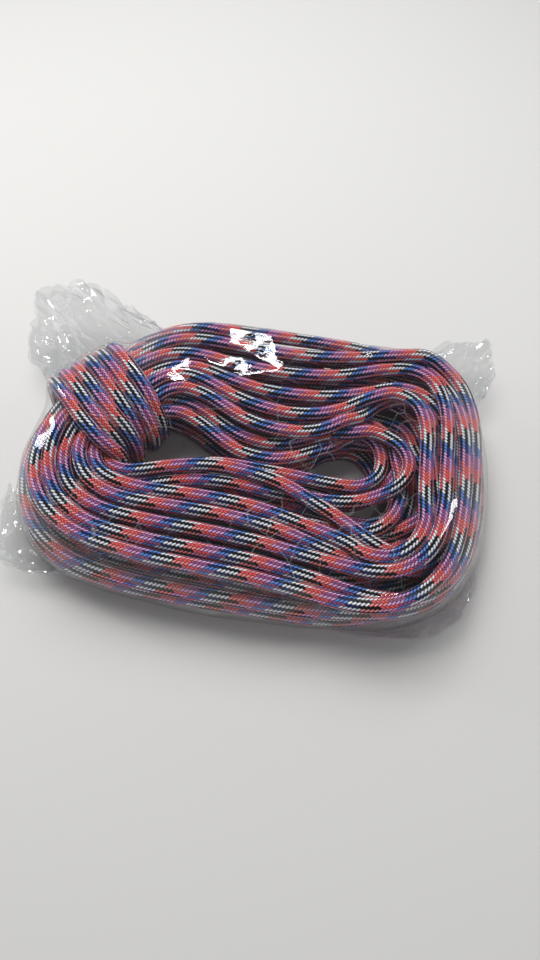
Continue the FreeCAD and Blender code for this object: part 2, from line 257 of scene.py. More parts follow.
# The loops on top swoop forward behind the hollow and rise again to the rear at the right end.
TOP_INNERMOST_LOOP = (
    (0, -16), (20, -20), (36, -26), (50, -33), (63, -40), (76, -45),
    (88, -42), (93, -30), (91, -13), (89, 5), (89, 23), (89, 39),
    (83, 53), (72, 59), (61, 52), (56, 38), (47, 24), (31, 15),
    (12, 12), (-7, 16), (-22, 26), (-34, 38), (-47, 41), (-59, 28),
    (-69, 14), (-79, 3), (-84, -9), (-77, -20), (-58, -22), (-29, -16),
)
# The loops below them slump in from both sides and fill the bottom of the hollow.
LOW_INNERMOST_LOOP = (
    (0, 10), (18, 8), (33, 7), (47, 5), (59, 4), (69, 7),
    (76, 13), (78, 20), (76, 27), (72, 32), (65, 36), (57, 36),
    (49, 32), (42, 25), (35, 18), (27, 12), (18, 7), (8, 3),
    (-3, 3), (-14, 8), (-25, 18), (-37, 29), (-48, 34), (-59, 26),
    (-69, 15), (-79, 4), (-84, -8), (-76, -18), (-55, -9), (-27, 11),
)
# Above 1 draws a layer's loops inwards and below 1 outwards, so that one layer lies in the gaps
# of the next. It counts fully where loops lie further apart than this many rope diameters.
LAYER_SPREAD = (1.1, 0.8, 1.25, 1.0)
ROOMY_SPACING = 1.5
# How far a layer's inner loops are drawn in at the right end, so that they cross the hole
# that the next layer leaves there.
LAYER_DRAW_IN = (9.0, 0.0, 7.0, 0.0)
DRAW_IN_X = (20.0, 60.0)
# The lowest layer has one loop fewer outside, so it is widened to lie under the others.
LOWEST_LAYER_WIDENING = 1.2
print(f"{len(OUTERMOST_LOOP)} points to a loop")

# %% Points of one loop after another
def loops_out(turn):
    """How many loops a place lies out from the innermost one: in, out, in and out again."""
    return abs(LOOPS_PER_LAYER - turn % (2 * LOOPS_PER_LAYER))


def smooth_step(value, low, high):
    """0 below low, 1 above high, and a smooth ramp between them."""
    share = min(1.0, max(0.0, (value - low) / (high - low)))
    return share * share * (3 - 2 * share)


def layer_height(turn):
    """Height of the rope's middle, with a climb along the front run between layers."""
    climbs = 0.0
    for layer in range(1, LAYERS):
        middle = layer * LOOPS_PER_LAYER
        climbs += smooth_step(turn, middle - CLIMB_REACH, middle + CLIMB_REACH)
    return ROPE_RADIUS + LAYER_STEP * climbs


def ride_up(turn, spacing):
    """How far every other loop on top rides up on its neighbours where they are close."""
    every_other = int(turn) % 2
    return every_other * math.sqrt(max(ROPE_DIAMETER ** 2 - spacing ** 2, 0.0))


def hank_point(step):
    """A point of the hank in its own flat frame, counted in steps round the loops."""
    turn = step / POINTS_PER_LOOP
    place = step % POINTS_PER_LOOP
    outer = np.array(OUTERMOST_LOOP[place], dtype=float)
    low = np.array(LOW_INNERMOST_LOOP[place], dtype=float)
    top = np.array(TOP_INNERMOST_LOOP[place], dtype=float)
    on_top = smooth_step(turn, TOP_LAYER_TURN - TOP_CHANGE_REACH, TOP_LAYER_TURN + TOP_CHANGE_REACH)
    inner = low + (top - low) * on_top
    spacing = float(np.hypot(*(outer - inner))) / LOOPS_PER_LAYER
    roomy = smooth_step(spacing, ROPE_DIAMETER, ROOMY_SPACING * ROPE_DIAMETER)
    layer = min(int(turn) // LOOPS_PER_LAYER, LAYERS - 1)
    spread = 1 + (LAYER_SPREAD[layer] - 1) * roomy
    out = (loops_out(turn) / LOOPS_PER_LAYER) ** spread
    if layer == 0:
        out = min(1.0, out * LOWEST_LAYER_WIDENING)
    x, y = inner + (outer - inner) * out
    x -= LAYER_DRAW_IN[layer] * smooth_step(x, *DRAW_IN_X) * (1 - out)
    return Vector((x, y, layer_height(turn) + on_top * ride_up(turn, spacing)))


def hank_points():
    """The spline's points through the hank, ending where the lashing begins."""
    start = Vector((*HANK_START, layer_height(FIRST_LOOP)))
    end = Vector((*HANK_END, layer_height(LAST_LOOP)))
    points = [hank_point(step) for step in range(FIRST_STEP, LAST_STEP)]
    return [start, start - STRAIGHT_ON] + points + [end + STRAIGHT_ON, end]


hank_line = hank_points()
print(f"{len(hank_line)} points through {LAST_LOOP - FIRST_LOOP:.0f} loops")

# %% [markdown]
# ## The lashing
# The tail leaves the last loop, goes six times round the left rear corner on the diagonal, and
# tucks its end under the turns. Seen along the corner each turn is a flat rounded oblong, which
# a superellipse draws: half its width, half its height, and how square its corners are.

# %% Points of the lashing
LASHING_TURNS = 6
LASHING_STEP = 8.1
LASHING_POINTS_PER_TURN = 16
POINTS_PAST_LAST_TURN = 2
TAIL_POINTS = 4
LASHING_SQUARENESS = 4.0
FIRST_OUTER_ACROSS = -15.0
FIRST_INNER_ACROSS = -25.0
INNER_LEG_STEP = 6.3
INNER_LEG_STAGGER = 2.2
# A turn steps across to the next one's place in this part of itself.
STEP_ACROSS = (0.3, 0.7)
LASHING_TOP = ROPE_RADIUS + LAYERS * LAYER_STEP
LASHING_BOTTOM = ROPE_RADIUS - LAYER_STEP
TAIL_LENGTH_UNDER = 40.0
# How far out along the diagonal the inner and outer legs lie, at each whole turn.
WHOLE_TURNS = range(LASHING_TURNS + 1)
INNER_REACH = (54.0, 54.0, 53.5, 53.0, 51.5, 49.0, 46.5)
OUTER_REACH = (113.0, 113.0, 112.5, 112.0, 111.5, 111.0, 110.0)


def superellipse(share, half):
    """One coordinate of a superellipse, from the cosine or sine of its angle."""
    return math.copysign(abs(share) ** (2 / LASHING_SQUARENESS), share) * half


def across_the_corner(across, out, height):
    """A point from its places across and out along the diagonal over the corner."""
    return Vector(((across - out) / math.sqrt(2), (across + out) / math.sqrt(2), height))


def place_across(turn, inner_share):
    """A turn's place across the corner; the turns lie closer together at the inner legs."""
    step = math.floor(turn) + smooth_step(turn - math.floor(turn), *STEP_ACROSS)
    outer = FIRST_OUTER_ACROSS - LASHING_STEP * step
    inner = FIRST_INNER_ACROSS - INNER_LEG_STEP * step
    return outer + (inner - outer) * inner_share


def lashing_point(turn):
    """A point of the lashing; whole turns lie at the middle of the outer leg, going down."""
    angle = 2 * math.pi * turn
    inner_share = (1 - math.cos(angle)) / 2
    stagger = INNER_LEG_STAGGER * (-1) ** math.floor(turn) * inner_share
    outer = float(np.interp(turn, WHOLE_TURNS, OUTER_REACH))
    inner = float(np.interp(turn, WHOLE_TURNS, INNER_REACH)) + stagger
    half = (outer - inner) / 2
    rise = (LASHING_TOP - LASHING_BOTTOM) / 2
    out = (outer + inner) / 2 + superellipse(math.cos(angle), half)
    height = (LASHING_TOP + LASHING_BOTTOM) / 2 - superellipse(math.sin(angle), rise)
    return across_the_corner(place_across(turn, inner_share), out, height)


def lashing_points(join):
    """The spline's points from the hank's last loop, round the corner and under it."""
    points = [join - STRAIGHT_ON, join - 2 * STRAIGHT_ON]
    count = LASHING_TURNS * LASHING_POINTS_PER_TURN
    for index in range(count + 1 + POINTS_PAST_LAST_TURN):
        points.append(lashing_point(index / LASHING_POINTS_PER_TURN))
    across = place_across(LASHING_TURNS, 0.0)
    outer = OUTER_REACH[-1] - 2 * ROPE_DIAMETER
    for reach in np.linspace(outer, OUTER_REACH[-1] - TAIL_LENGTH_UNDER, TAIL_POINTS):
        points.append(across_the_corner(across, reach, LASHING_BOTTOM))
    return points


lashing_line = lashing_points(hank_line[-1])
print(f"{len(lashing_line)} points through the lashing")

# %% [markdown]
# ## From the flat frame to the table
# The hank's left end rests on the lashing, so the whole hank tips a little to the right. The
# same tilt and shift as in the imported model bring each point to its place.

# %% Tilt and place
PIVOT_X = 109.6
HANK_TILT = math.radians(3.605)
HANK_PLACE = Vector((7.5, -18.0, 0.7))


def on_the_table(point):
    """A point of the flat hank, tilted and moved to its place in the object, in metres."""
    arm = point.x - PIVOT_X
    x = PIVOT_X + arm * math.cos(HANK_TILT) + point.z * math.sin(HANK_TILT)
    z = -arm * math.sin(HANK_TILT) + point.z * math.cos(HANK_TILT)
    return (Vector((x, point.y, z)) + HANK_PLACE) * MM


print(f"tilted by {math.degrees(HANK_TILT):.2f} degrees")

# %% [markdown]
# ## Slack
# A shop hank isn't neat. At its right end, where nothing ties the loops, each one swings a few
# millimetres its own way. Sines of the turn number do that: they differ from loop to loop, and
# yet the line stays smooth.

# %% Loosen the right end
LOOSE_FROM_X = 30.0
LOOSE_FULLY_X = 85.0
LOOSE_SWING = 5.0
LOOSE_LIFT = 3.0
SLACK_EVERYWHERE = 1.0
# Each sine's rate per loop and its start; the one along x also jumps on from loop to loop.
SWING_X_RATE = 2.3
SWING_X_JUMP = 0.9
SWING_Y_RATE = 4.7
SWING_Y_START = 2.0
LIFT_RATE = 3.9
LIFT_START = 1.0


def loosened(point, turn):
    """A point of the flat hank with the slack of its own loop."""
    loose = smooth_step(point.x, LOOSE_FROM_X, LOOSE_FULLY_X)
    swing = SLACK_EVERYWHERE + LOOSE_SWING * loose
    shift_x = swing * math.sin(turn * SWING_X_RATE + SWING_X_JUMP * math.floor(turn) * loose)
    shift_y = swing * math.sin(turn * SWING_Y_RATE + SWING_Y_START)
    shift_z = loose * LOOSE_LIFT * math.sin(turn * LIFT_RATE + LIFT_START)
    return point + Vector((shift_x, shift_y, shift_z))


print(f"the right end is up to {SLACK_EVERYWHERE + LOOSE_SWING:.0f} mm loose")

# %% [markdown]
# ## Let the strands settle
# The drawn strands run into each other, which real ones can't. So the rope becomes a chain
# of beads: those that are too close push each other away, tight bends open, links keep their
# length, and all sink a little until something holds them. The chain is held near its drawn
# shape at first and then let go. Nothing in it is random.

# %% Settle the chain
BEAD_STEP = 4.0 * MM
SETTLE_ROUNDS = 210
LET_GO_AFTER = 160
PAIR_REACH = 11.0 * MM
BEADS_APART = 6
PAIRS_EVERY = 8
PUSH = 0.5
PUSH_CALM = 0.6
# Two least values that only keep a division from zero.
LEAST_DISTANCE = 1e-6
LEAST_SAG = 1e-9
SMOOTHING = 0.12
LEAST_BEND = 17.0 * MM
BEND_OPENING = 0.8
HOLD_TO_SHAPE = 0.03
SINK = 0.012 * MM
TABLE_CLEARANCE = 0.7 * MM


def near_beads(beads):
    """Pairs of beads that lie close together but aren't neighbours along the rope."""
    tree = KDTree(len(beads))
    for index, bead in enumerate(beads):
        tree.insert(bead, index)
    tree.balance()
    pairs = []
    for index, bead in enumerate(beads):
        for _, other, _ in tree.find_range(bead, PAIR_REACH):
            if other > index + BEADS_APART:
                pairs.append((index, other))
    return np.array(pairs)


def push_apart(beads, pairs):
    """Move beads that overlap away from each other, each by its share."""
    first, second = pairs[:, 0], pairs[:, 1]
    away = beads[first] - beads[second]
    distance = np.maximum(np.linalg.norm(away, axis=1), LEAST_DISTANCE)
    overlap = np.maximum(ROPE_DIAMETER * MM - distance, 0.0)
    move = away * (overlap / distance * PUSH)[:, None]
    shift = np.zeros_like(beads)
    np.add.at(shift, first, move)
    np.add.at(shift, second, -move)
    return beads + shift * PUSH_CALM, float(overlap.max())


def keep_links(beads, rest):
    """Bring each link back towards its own length, every other link at a time."""
    for start in (0, 1):
        here = np.arange(start, len(beads) - 1, 2)
        link = beads[here + 1] - beads[here]
        length = np.linalg.norm(link, axis=1)
        move = link * ((length - rest) / length * 0.5)[:, None]
        beads[here] += move
        beads[here + 1] -= move
    return beads


def settle(beads):
    """The same rope, with its strands lying beside and on each other."""
    shape = beads.copy()
    rest = float(np.linalg.norm(np.diff(beads, axis=0), axis=1).mean())
    ends = beads[:2].copy(), beads[-2:].copy()
    worst = 0.0
    for turn in range(SETTLE_ROUNDS):
        if turn % PAIRS_EVERY == 0:
            pairs = near_beads(beads)
        beads, worst = push_apart(beads, pairs)
        sag = (beads[:-2] + beads[2:]) / 2 - beads[1:-1]
        depth = np.maximum(np.linalg.norm(sag, axis=1), LEAST_SAG)
        too_tight = np.maximum(1 - rest ** 2 / (2 * LEAST_BEND * depth), 0.0)
        beads[1:-1] += sag * (SMOOTHING + BEND_OPENING * too_tight)[:, None]
        beads = keep_links(beads, rest)
        if turn < LET_GO_AFTER:
            beads += (shape - beads) * HOLD_TO_SHAPE
        beads[:, 2] -= SINK
        beads[:, 2] = np.maximum(beads[:, 2], ROPE_RADIUS * MM + TABLE_CLEARANCE)
        beads[:2], beads[-2:] = ends
    moved = np.linalg.norm(beads - shape, axis=1).max()
    print(f"{len(beads)} beads settled, deepest overlap {worst / MM:.2f} mm, "
          f"furthest move {moved / MM:.1f} mm")
    return beads


print(f"beads {BEAD_STEP / MM:.0f} mm apart settle in {SETTLE_ROUNDS} rounds")

# %% [markdown]
# ## One smooth spline
# A NURBS spline of order three bends evenly between its points, as a rope does. Its own line,
# read back as plain points, is what the sheath and the core are then built along.

# %% Make the spline and read it back
SPLINE_FINENESS = 6
RING_STEP = 2.4 * MM


def read_spline(name, points):
    """Points along the NURBS spline that these control points make."""
    curve = bpy.data.curves.new(name, "CURVE")
    curve.dimensions = "3D"
    spline = curve.splines.new("NURBS")
    spline.points.add(len(points) - 1)
    for spot, point in zip(spline.points, points):
        spot.co = (*point, 1.0)
    spline.order_u = 3
    spline.use_endpoint_u = True
    spline.resolution_u = SPLINE_FINENESS
    holder = bpy.data.objects.new(name, curve)
    scene.collection.objects.link(holder)
    depsgraph = bpy.context.evaluated_depsgraph_get()
    line_mesh = bpy.data.meshes.new_from_object(holder.evaluated_get(depsgraph))
    line = np.array([vertex.co for vertex in line_mesh.vertices])
    bpy.data.objects.remove(holder)
    bpy.data.meshes.remove(line_mesh)
    return line


def even_line(line, step=None, count=None):
    """The same line with its points a steady step apart, or with so many of them."""
    lengths = np.linalg.norm(np.diff(line, axis=0), axis=1)
    along = np.concatenate([[0.0], np.cumsum(lengths)])
    count = count or int(along[-1] / step) + 1
    spots = np.linspace(0, along[-1], count)
    return np.stack([np.interp(spots, along, line[:, axis]) for axis in range(3)], axis=1)


neat_points = [on_the_table(point) for point in hank_line[:2]]
for index, point in enumerate(hank_line[2:-2]):
    neat_points.append(on_the_table(loosened(point, (FIRST_STEP + index) / POINTS_PER_LOOP)))
neat_points += [on_the_table(point) for point in hank_line[-2:] + lashing_line]
join_place = np.array(neat_points[len(hank_line) - 1])
beads = even_line(read_spline("neat_route", neat_points), BEAD_STEP)
join_bead = int(np.argmin(np.linalg.norm(beads - join_place, axis=1)))
beads = settle(beads)
rope_line = even_line(read_spline("rope_route", beads), RING_STEP)
join_ring = int(np.argmin(np.linalg.norm(rope_line - beads[join_bead], axis=1)))
print(f"rope {len(rope_line) * RING_STEP:.2f} m long, joins the lashing at ring {join_ring}")

# %% [markdown]
# ## The braided sheath
# A tube with a UV map carries the braid: along it the map counts turns of the braid, and round
# it goes from 0 to 1. Its rings keep the same side up, so that the braid doesn't spin.

# %% Build a tube along the line
SHEATH_SIDES = 20
BRAID_PITCH = 33.0 * MM
LASHING_MIDDLE = on_the_table(across_the_corner(-24.0, 85.0, 17.0))
# How much the lashing's outward direction counts the diagonal, beside up and down.
DIAGONAL_SHARE = 0.5


def ring_directions(line, outward):
    """For each ring, the direction that stays up or outward, and the one beside it."""
    tangent = np.gradient(line, axis=0)
    tangent /= np.linalg.norm(tangent, axis=1)[:, None]
    up = outward - (outward * tangent).sum(axis=1)[:, None] * tangent
    up /= np.linalg.norm(up, axis=1)[:, None]
    return up, np.cross(tangent, up)


def all_round(count):
    """So many angles all the way round."""
    return np.linspace(0, 2 * math.pi, count, endpoint=False)


def tube_faces(rings, sides):
    """The wall of a tube as rows of four point numbers, ring by ring, and its two caps."""
    ring, side = np.meshgrid(np.arange(rings - 1), np.arange(sides), indexing="ij")
    ring, side = ring.ravel(), side.ravel()
    next_side = (side + 1) % sides
    wall = np.stack([ring * sides + side, ring * sides + next_side,
                     (ring + 1) * sides + next_side, (ring + 1) * sides + side], axis=1)
    caps = [list(range(sides))[::-1], list(range((rings - 1) * sides, rings * sides))]
    return ring, side, wall, caps


def tube(name, part, radius, sides):
    """A closed-ended tube along a part of the rope, with its braid map."""
    line, outward = rope_line[part], hints[part]
    up, beside = ring_directions(line, outward)
    rings = len(line)
    angles = all_round(sides)
    around = up[:, None] * np.cos(angles)[None, :, None]
    around = around + beside[:, None] * np.sin(angles)[None, :, None]
    places = (line[:, None] + radius * around).reshape(-1, 3)
    ring, side, wall, caps = tube_faces(rings, sides)
    made = new_object(name, places.tolist(), wall.tolist() + caps)
    mesh = made.data
    along = (part.start * RING_STEP + np.arange(rings) * RING_STEP) / BRAID_PITCH
    places = np.zeros((len(mesh.loops), 2))
    places[:wall.size, 0] = along[np.stack([ring, ring, ring + 1, ring + 1], axis=1)].ravel()
    places[:wall.size, 1] = np.stack([side, side + 1, side + 1, side], axis=1).ravel() / sides
    mesh.uv_layers.new(name="braid_map").data.foreach_set("uv", places.ravel())
    mesh.polygons.foreach_set("use_smooth", [True] * len(wall) + [False, False])
    return made


def outward_hints(line):
    """Up along the hank, and away from the middle of the lashing along its turns."""
    hints = np.tile([0.0, 0.0, 1.0], (len(line), 1))
    diagonal = np.array([-1.0, 1.0, 0.0]) / math.sqrt(2)
    away = line[join_ring:] - np.array(LASHING_MIDDLE)
    reach = (away * diagonal).sum(axis=1)[:, None] * diagonal * DIAGONAL_SHARE
    hints[join_ring:] = reach + away * [0.0, 0.0, 1.0]
    return hints


hints = outward_hints(rope_line)
HANK_PART = slice(0, join_ring + 1)
LASHING_PART = slice(join_ring, len(rope_line))
hank_rope = tube("hank_rope", HANK_PART, ROPE_RADIUS * MM, SHEATH_SIDES)
lashing_rope = tube("lashing_rope", LASHING_PART, ROPE_RADIUS * MM, SHEATH_SIDES)
print("faces:", len(hank_rope.data.polygons), len(lashing_rope.data.polygons))

# %% [markdown]
# ## The braid's colours
# Thirty-two bobbins braid the sheath, sixteen each way round. A yarn goes over two others and
# then under two. The yarns come in groups of three to five alike: coral, lilac, blue and white
# one way, and coral, plum, navy and black the other. That makes the slanting blocks of colour
# and the rows of white ticks. Two slanted counts, one for each way round, give all of it.

# %% Helpers for the sums and colours of a material
def sums_in(tree):
    """A function that adds a Math node to the tree, so that a formula reads as one."""

    def do(operation, *values):
        return node(tree, "Math", dict(enumerate(values)), operation=operation).outputs[0]

    return do


def mix_colour(tree, share, first, second, blend="MIX"):
    """One colour over another by a share; inputs 6 and 7 are the node's two colours."""
    mix = node(tree, "Mix", {"Factor": share, 6: first, 7: second},
               data_type="RGBA", blend_type=blend)
    return mix.outputs[2]


def relief(tree, height, strength, distance):
    """The direction of a surface with that relief."""
    return node(tree, "Bump", {
        "Strength": strength, "Distance": distance, "Height": height}).outputs[0]


def braid_map_parts(tree):
    """How far a spot lies along the rope, in turns of the braid, and round it, from 0 to 1."""
    uv = node(tree, "UVMap", uv_map="braid_map")
    parts = node(tree, "SeparateXYZ", {0: uv.outputs[0]})
    return parts.outputs[0], parts.outputs[1]


# %% The braid
YARNS_EACH_WAY = 16
YARNS_IN_GROUPS = (4, 4, 3, 5)
# A yarn goes over two others and under two, so all repeats after four.
REPEAT = 4.0
RIGHT_HAND_YARNS = (
    (1.0, 0.31, 0.30),
    (0.80, 0.40, 0.70),
    (0.13, 0.28, 0.74),
    (0.90, 0.92, 0.97),
)
LEFT_HAND_YARNS = (
    (0.88, 0.10, 0.10),
    (0.34, 0.09, 0.25),
    (0.010, 0.022, 0.11),
    (0.004, 0.0035, 0.006),
)
# Half a pick's width, where 1 just fills its yarn's place, and how blunt its ends are.
PICK_HALF_WIDTH = 1.1
PICK_BLUNTNESS = 3.0
# Painted shade: a pick's colour darkens towards the grooves round it, down to this share of itself.
PAINTED_GROOVE_LIGHT = 0.15
BRAID_BUMP = 0.9
BRAID_RELIEF = 0.35 * MM
YARN_ROUGHNESS = 0.5
SHEATH_FINISH = {"Specular IOR Level": 0.25, "Sheen Weight": 0.04, "Sheen Roughness": 0.4}


def yarn_colour(tree, do, count, colours):
    """The colour of a yarn from its number, in groups of a few alike."""
    share = do("FRACT", do("DIVIDE", count, YARNS_EACH_WAY))
    ramp = node(tree, "ValToRGB", {"Fac": share})
    ramp.color_ramp.interpolation = "CONSTANT"
    elements = ramp.color_ramp.elements
    elements.remove(elements[1])
    elements[0].position = 0.0
    elements[0].color = (*colours[0], 1.0)
    starts = np.cumsum(YARNS_IN_GROUPS)[:-1] / YARNS_EACH_WAY
    for start, colour in zip(starts, colours[1:]):
        elements.new(float(start)).color = (*colour, 1.0)
    return ramp.outputs["Color"]


def pick_height(do, across, run):
    """Height of one pick, an oval bump that is lower at its sides and ends."""
    side = do("SUBTRACT", do("MULTIPLY", do("FRACT", across), 2 * PICK_HALF_WIDTH), PICK_HALF_WIDTH)
    side_drop = do("MULTIPLY", side, side)
    end_drop = do("POWER", do("ABSOLUTE", do("SUBTRACT", run, 1.0)), PICK_BLUNTNESS)
    left_over = do("SUBTRACT", 1.0, do("ADD", side_drop, end_drop))
    return do("SQRT", do("MAXIMUM", left_over, 0.0))


def braid_material():
    """The sheath's braid, from its map, with painted shade in the grooves between its picks."""
    material, tree = new_material("braided_sheath")
    do = sums_in(tree)
    along, around = braid_map_parts(tree)
    right = do("MULTIPLY", do("ADD", around, along), YARNS_EACH_WAY)
    left = do("MULTIPLY", do("SUBTRACT", around, along), YARNS_EACH_WAY)
    right_yarn = do("FLOOR", right)
    left_yarn = do("FLOOR", left)
    crossing = do("FLOORED_MODULO", do("ADD", right_yarn, left_yarn), REPEAT)
    right_on_top = do("LESS_THAN", crossing, 1.5)
    right_run = do("FLOORED_MODULO", do("ADD", left, right_yarn), REPEAT)
    left_run = do("SUBTRACT", do("FLOORED_MODULO", do("ADD", right, left_yarn), REPEAT), 2.0)
    height = do("ADD", do("MULTIPLY", right_on_top, pick_height(do, right, right_run)),
                do("MULTIPLY", do("SUBTRACT", 1.0, right_on_top), pick_height(do, left, left_run)))
    right_colour = yarn_colour(tree, do, do("ADD", right_yarn, 0.5), RIGHT_HAND_YARNS)
    left_colour = yarn_colour(tree, do, do("SUBTRACT", -0.5, left_yarn), LEFT_HAND_YARNS)
    colour = mix_colour(tree, right_on_top, left_colour, right_colour)
    # Painted shade: the colour is multiplied by a grey that is darkest in the grooves between
    # picks.
    light = do("ADD", do("MULTIPLY", height, 1 - PAINTED_GROOVE_LIGHT), PAINTED_GROOVE_LIGHT)
    painted_groove_shade = node(tree, "CombineColor", {0: light, 1: light, 2: light})
    show(tree, node(tree, "BsdfPrincipled", {
        "Base Color": mix_colour(tree, 1.0, colour, painted_groove_shade.outputs[0], "MULTIPLY"),
        "Roughness": YARN_ROUGHNESS,
        **SHEATH_FINISH,
        "Normal": relief(tree, height, BRAID_BUMP, BRAID_RELIEF)}))
    return material


sheath_material = braid_material()
dress(hank_rope, sheath_material)
dress(lashing_rope, sheath_material)
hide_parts("hank_sheath")
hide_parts("lashing_sheath")
print(f"{2 * YARNS_EACH_WAY} yarns, a turn every {BRAID_PITCH / MM:.0f} mm")

# %% [markdown]
# ## The core and the melted ends
# Inside the sheath lies the core that carries the load, a bundle of twisted white yarns. It
# isn't seen, yet it belongs to the part, so it is a slimmer tube along the same line. Each end
# of the rope is melted into a hard, glossy knob, so that it can't fray.

# %% The core inside the sheath
CORE_RADIUS = 2.85
CORE_SIDES = 8
# Stripes to a turn of the braid, and yarns round the core.
CORE_YARN_TURNS = 3.0
CORE_YARNS = 7.0
CORE_WHITE = (0.86, 0.86, 0.83, 1.0)
# Painted shade: the grey that the white yarns turn in the grooves between them.
CORE_PAINTED_SHADE = (0.42, 0.42, 0.40, 1.0)
CORE_BUMP = 0.8
CORE_RELIEF = 0.3 * MM


def core_material():
    """Twisted white yarns, as slanting stripes of the braid map, with painted shade in the grooves
    between them.
    """
    material, tree = new_material("core_yarns")
    do = sums_in(tree)
    along, around = braid_map_parts(tree)
    slant = do("ADD", do("MULTIPLY", along, CORE_YARN_TURNS), do("MULTIPLY", around, CORE_YARNS))
    across = do("SUBTRACT", do("MULTIPLY", do("FRACT", slant), 2.0), 1.0)
    height = do("SUBTRACT", 1.0, do("MULTIPLY", across, across))
    show(tree, node(tree, "BsdfPrincipled", {
        "Base Color": mix_colour(tree, height, CORE_PAINTED_SHADE, CORE_WHITE),
        "Roughness": YARN_ROUGHNESS,
        "Normal": relief(tree, height, CORE_BUMP, CORE_RELIEF)}))
    return material


hank_core = tube("hank_core_yarns", HANK_PART, CORE_RADIUS * MM, CORE_SIDES)
lashing_core = tube("lashing_core_yarns", LASHING_PART, CORE_RADIUS * MM, CORE_SIDES)
white_yarns = core_material()
for core, core_node in ((hank_core, "hank_core"), (lashing_core, "lashing_core")):
    dress(core, white_yarns)
    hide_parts(core_node)
print("faces in the core:", len(hank_core.data.polygons) + len(lashing_core.data.polygons))

# %% The melted ends
MELTED_SIDES = 24
# Distance along the rope from its last ring, and radius there, in mm.
MELTED_PROFILE = ((-5.0, 4.05), (-4.6, 4.3), (-3.0, 4.5), (-1.0, 4.45), (0.6, 4.1),
                  (1.6, 3.5), (2.3, 2.6), (2.7, 1.4))
# Three low waves run round each ring, turned a little from ring to ring.
MELTED_WAVES = 3
MELTED_WAVINESS = 0.15
MELTED_TWIST = 1.7
MELTED_DARK = (0.03, 0.012, 0.02, 1.0)
MELTED_RED = (0.42, 0.10, 0.12, 1.0)
MOTTLE_SCALE = 420.0
MELTED_ROUGHNESS = 0.25


def melted_end(name, place, towards):
    """A knob of melted yarn on one end of the rope."""
    towards = towards / np.linalg.norm(towards)
    beside = np.cross(towards, [0.0, 0.0, 1.0])
    beside /= np.linalg.norm(beside)
    above = np.cross(beside, towards)
    angles = all_round(MELTED_SIDES)
    rows = []
    for index, (distance, radius) in enumerate(MELTED_PROFILE):
        wavy = radius + MELTED_WAVINESS * np.sin(MELTED_WAVES * angles + MELTED_TWIST * index)
        ring = place + towards * distance * MM
        rows.append(ring + (np.cos(angles) * wavy * MM)[:, None] * beside
                    + (np.sin(angles) * wavy * MM)[:, None] * above)
    _, _, wall, caps = tube_faces(len(rows), MELTED_SIDES)
    faces = wall[:, [0, 3, 2, 1]].tolist() + [cap[::-1] for cap in caps]
    return new_object(name, np.concatenate(rows).tolist(), faces, smooth=True)


def melted_material():
    """Nylon that has melted and set: dark, mottled and glossy."""
    material, tree = new_material("melted_nylon")
    place = node(tree, "TexCoord").outputs["Object"]
    mottle = node(tree, "TexNoise", {"Vector": place, "Scale": MOTTLE_SCALE})
    show(tree, node(tree, "BsdfPrincipled", {
        "Base Color": mix_colour(tree, mottle.outputs["Fac"], MELTED_DARK, MELTED_RED),
        "Roughness": MELTED_ROUGHNESS}))
    return material


hank_end = melted_end("melted_hank_end", rope_line[0], rope_line[0] - rope_line[2])
tail_end = melted_end("melted_tail_end", rope_line[-1], rope_line[-1] - rope_line[-3])
melted_nylon = melted_material()
for end, end_node in ((hank_end, "hank_end_seal"), (tail_end, "tail_end_seal")):
    dress(end, melted_nylon)
    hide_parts(end_node)
    places = [vertex.co for vertex in end.data.vertices]
    away = np.linalg.norm(np.mean(places, axis=0) - np.mean(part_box(end_node), axis=0)) / MM
    print(f"{end.name} stands {away:.1f} mm from its node")

# %% [markdown]
# ## The film's shape over the rope
# The bag was drawn tight, so its outline on the table is the shortest line round the hank, and
# its top is a skin stretched over the strands. A grid of heights finds that skin: each cell is
# held up by the rope under it, or else lies halfway between its neighbours.

# %% The outline of the bag
FILM_STAND_OFF = 0.5 * MM
BAG_CENTRE = np.array([6.0, -9.0]) * MM


def shortest_line_round(places):
    """The convex outline round some plan points, going counter-clockwise."""
    return places[convex_hull_2d(places.tolist())]


def reach_of_outline(angles):
    """How far the outline lies from the bag's centre in each direction."""
    first = outline - BAG_CENTRE
    edge = np.roll(first, -1, axis=0) - first
    across = np.outer(np.cos(angles), edge[:, 1]) - np.outer(np.sin(angles), edge[:, 0])
    ahead = across > 0
    reach = (first[:, 0] * edge[:, 1] - first[:, 1] * edge[:, 0]) / np.where(ahead, across, 1.0)
    return np.where(ahead, reach, np.inf).min(axis=1)


def rays(angles, beyond):
    """Directions from the bag's centre, and how far out each meets the rope's outer side."""
    directions = np.stack([np.cos(angles), np.sin(angles)], axis=1)
    reach = reach_of_outline(angles) + ROPE_RADIUS * MM + beyond
    return directions, reach


def on_rays(directions, reaches):
    """Plan places, a row for each direction."""
    return BAG_CENTRE + directions[:, None] * reaches[..., None]


outline = shortest_line_round(rope_line[:, :2])
print(f"the bag's outline has {len(outline)} corners")

# %% The skin over the strands
GRID_STEP = 2.0 * MM
GRID_LOW = np.array([-150.0, -110.0]) * MM
GRID_CELLS = (151, 111)
SKIN_ROUNDS = 3000
SKIN_EDGE_HEIGHT = 14.0 * MM
SMOOTH_ROUNDS = 3
SMOOTH_LIFT = 0.4 * MM
# A strand holds up the cells no further than this from its line.
CELLS_ACROSS = 2


